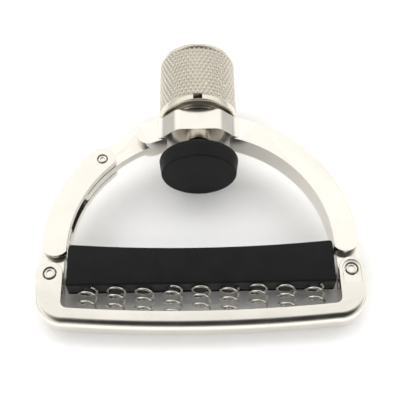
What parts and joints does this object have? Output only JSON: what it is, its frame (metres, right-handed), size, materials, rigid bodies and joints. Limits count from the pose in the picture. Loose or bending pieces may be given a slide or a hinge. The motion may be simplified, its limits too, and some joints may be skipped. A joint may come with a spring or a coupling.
{
  "type": "guitar capo",
  "caption": "Yoke guitar capo: half-ring metal frame, side latch lever, hinged string bar with a rubber pad on coil springs, and a knob-driven round neck pad.",
  "frame": {"origin": "under the middle of the whole capo, on the level of the knob's lowest line", "axes": "+Y along the clamp screw from the string bar towards the knob, +Z square to the flat yoke, +X across the neck towards the string bar's hinge"},
  "size_m": [0.0664, 0.067, 0.0176],
  "materials": {
    "polished_steel": "satin-polished warm nickel",
    "knurled_steel": "fine diamond knurl",
    "dark_steel": "plain",
    "brass": "machined",
    "spring_steel": "bright drawn wire",
    "rubber": "satin black",
    "black_plastic": "matt black"
  },
  "bodies": {
    "yoke": {"yoke_frame": "polished_steel", "guide_pin": "dark_steel", "thrust_washer": "polished_steel"},
    "knob": {"thumb_knob": "knurled_steel", "knob_grub_screw": "dark_steel", "knob_end_cap": "polished_steel", "drive_nut": "brass"},
    "plunger": {"clamp_screw": "polished_steel", "pad_cup": "polished_steel", "neck_pad": "rubber"},
    "latch": {"latch_lever": "polished_steel", "latch_hook": "polished_steel", "hook_dowel_1": "dark_steel", "hook_dowel_2": "dark_steel", "latch_pin": "polished_steel"},
    "bar": {"string_bar": "polished_steel", "hinge_pin": "polished_steel", "catch_pin": "polished_steel", "spring_1": "spring_steel", "spring_2": "spring_steel", "spring_3": "spring_steel", "spring_4": "spring_steel", "spring_5": "spring_steel", "spring_6": "spring_steel", "spring_7": "spring_steel", "spring_8": "spring_steel", "spring_9": "spring_steel"},
    "pressure_pad": {"pad_carrier": "black_plastic", "string_pad": "rubber"}
  },
  "joints": [
    {"name": "knob_turn", "type": "hinge", "parent": "yoke", "child": "knob", "pos_m": [0, 0.0255, 0.0088], "axis": [0, 1, 0], "range_deg": [-720, 1440]},
    {"name": "neck_pad_slide", "type": "slide", "parent": "yoke", "child": "plunger", "axis": [0, -1, 0], "range_m": [-0.0025, 0.005]},
    {"name": "latch_swing", "type": "hinge", "parent": "yoke", "child": "latch", "pos_m": [-0.02111, 0.00593, 0.0088], "axis": [0, 0, -1], "range_deg": [0, 105]},
    {"name": "bar_swing", "type": "hinge", "parent": "yoke", "child": "bar", "pos_m": [0.0306, -0.02127, 0.0088], "axis": [0, 0, 1], "range_deg": [0, 74]},
    {"name": "pad_slide", "type": "slide", "parent": "bar", "child": "pressure_pad", "axis": [0, -1, 0], "range_m": [0, 0.0015], "stiffness_N_per_m": 6000, "springref_m": -0.0005, "deforming": ["spring_1", "spring_2", "spring_3", "spring_4", "spring_5", "spring_6", "spring_7", "spring_8", "spring_9"]}
  ],
  "couplings": [
    {"joint": "knob_turn", "follows": "neck_pad_slide", "rad_per_m": 5026.5},
    {"joint": "bar_swing", "follows": "latch_swing", "ratio": 0.7047}
  ]
}
